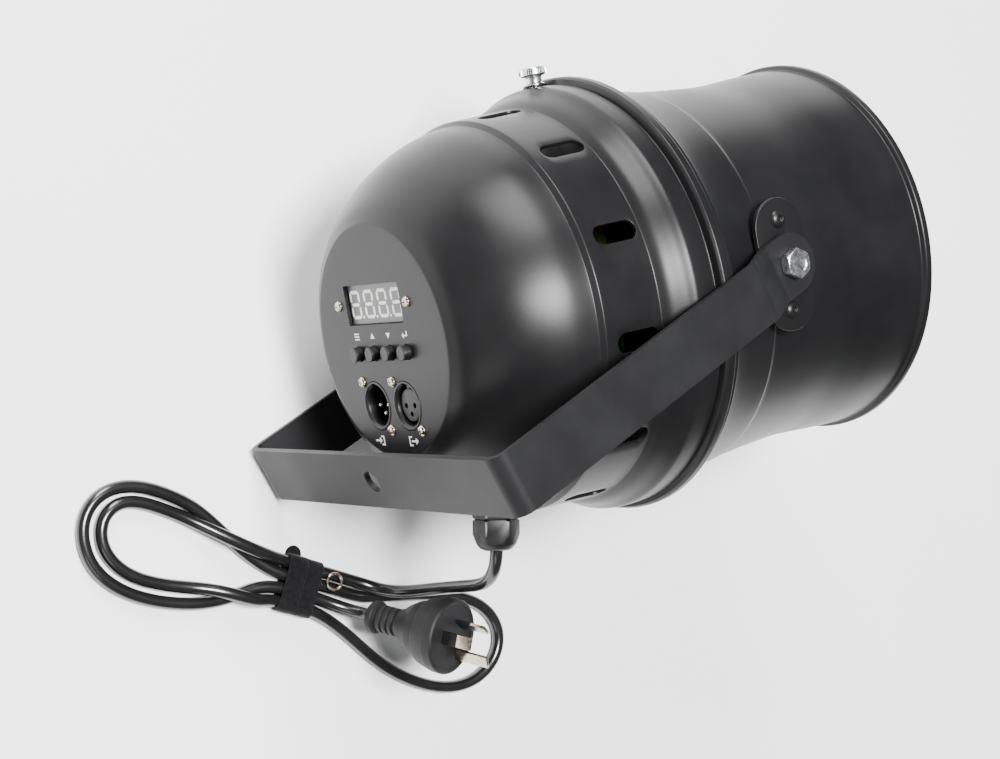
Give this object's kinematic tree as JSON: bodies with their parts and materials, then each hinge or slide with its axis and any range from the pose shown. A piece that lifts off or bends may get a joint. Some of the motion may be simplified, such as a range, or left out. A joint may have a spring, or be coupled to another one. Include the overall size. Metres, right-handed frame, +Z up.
{
  "type": "par can light",
  "caption": "Short black stage par can with domed vented rear cap, digital control panel, data sockets, bent steel yoke, side gland and coiled mains lead",
  "frame": {"origin": "centre of the lamp's bounding box, at the floor it lies on, its lead left out", "axes": "+Z up, out of the lamp's right side as its rear panel is read; +Y along the lamp's axis from the rear panel to the lens; +X towards the panel's bottom edge"},
  "size_m": [0.3237, 0.3928, 0.2294],
  "materials": {
    "black_coat": "satin",
    "black_plastic": "satin",
    "cord_pvc": "gloss",
    "zinc": "polished",
    "nickel": "polished",
    "aluminium": "satin",
    "display_grey": "matte",
    "lens_clear": "gloss",
    "board_green": "satin",
    "winding": "matte",
    "strap": "matte"
  },
  "bodies": {
    "head": {"rear_cap": "black_coat", "front_can": "black_coat", "thumb_washer": "black_coat", "display_module": "display_grey", "control_board": "board_green", "xlr_in_shell": "black_plastic", "xlr_in_insert": "black_plastic", "xlr_in_pin_1": "nickel", "xlr_in_pin_2": "nickel", "xlr_in_pin_3": "nickel", "xlr_out_shell": "black_plastic", "xlr_out_insert": "black_plastic", "lens_plate": "lens_clear", "retaining_ring": "black_coat", "led_board": "aluminium", "heat_sink": "aluminium", "chassis_plate": "aluminium", "supply_board": "board_green", "transformer": "winding", "capacitor": "black_plastic", "gland_body": "black_plastic", "gland_nut": "black_plastic", "gland_locknut": "black_plastic", "cord": "cord_pvc", "plug_body": "black_plastic", "plug_pin_live": "nickel", "plug_pin_neutral": "nickel", "plug_pin_earth": "nickel", "cord_tie": "strap", "tie_ring": "nickel", "panel_screw_1": "nickel", "panel_screw_2": "nickel", "panel_screw_3": "nickel", "panel_screw_4": "nickel", "panel_screw_5": "nickel", "panel_screw_6": "nickel", "pillar_1": "nickel", "pillar_2": "nickel", "pillar_3": "nickel", "pillar_4": "nickel", "side_plate_near": "black_coat", "rivet_near_1": "black_coat", "rivet_near_2": "black_coat", "pivot_washer_near": "black_plastic", "pivot_bolt_near": "zinc", "pivot_nut_near": "zinc", "side_plate_far": "black_coat", "rivet_far_1": "black_coat", "rivet_far_2": "black_coat", "pivot_washer_far": "black_plastic", "pivot_bolt_far": "zinc", "pivot_nut_far": "zinc"},
    "yoke": {"yoke": "black_coat"},
    "thumbscrew": {"thumbscrew": "zinc"},
    "button_menu": {"button_menu": "black_plastic"},
    "button_up": {"button_up": "black_plastic"},
    "button_down": {"button_down": "black_plastic"},
    "button_enter": {"button_enter": "black_plastic"}
  },
  "joints": [
    {"name": "yoke_tilt", "type": "hinge", "parent": "head", "child": "yoke", "pos_m": [-0.00077, 0.04365, 0.1147], "axis": [0, 0, 1], "range_deg": [-200, 12]},
    {"name": "thumbscrew_turn", "type": "hinge", "parent": "head", "child": "thumbscrew", "pos_m": [-0.10517, -0.00935, 0.1147], "axis": [-1, 0, 0], "continuous": true},
    {"name": "button_menu_press", "type": "slide", "parent": "head", "child": "button_menu", "axis": [0, 1, 0], "range_m": [0, 0.0008], "stiffness_N_per_m": 1500, "springref_m": -0.0004},
    {"name": "button_up_press", "type": "slide", "parent": "head", "child": "button_up", "axis": [0, 1, 0], "range_m": [0, 0.0008], "stiffness_N_per_m": 1500, "springref_m": -0.0004},
    {"name": "button_down_press", "type": "slide", "parent": "head", "child": "button_down", "axis": [0, 1, 0], "range_m": [0, 0.0008], "stiffness_N_per_m": 1500, "springref_m": -0.0004},
    {"name": "button_enter_press", "type": "slide", "parent": "head", "child": "button_enter", "axis": [0, 1, 0], "range_m": [0, 0.0008], "stiffness_N_per_m": 1500, "springref_m": -0.0004}
  ]
}
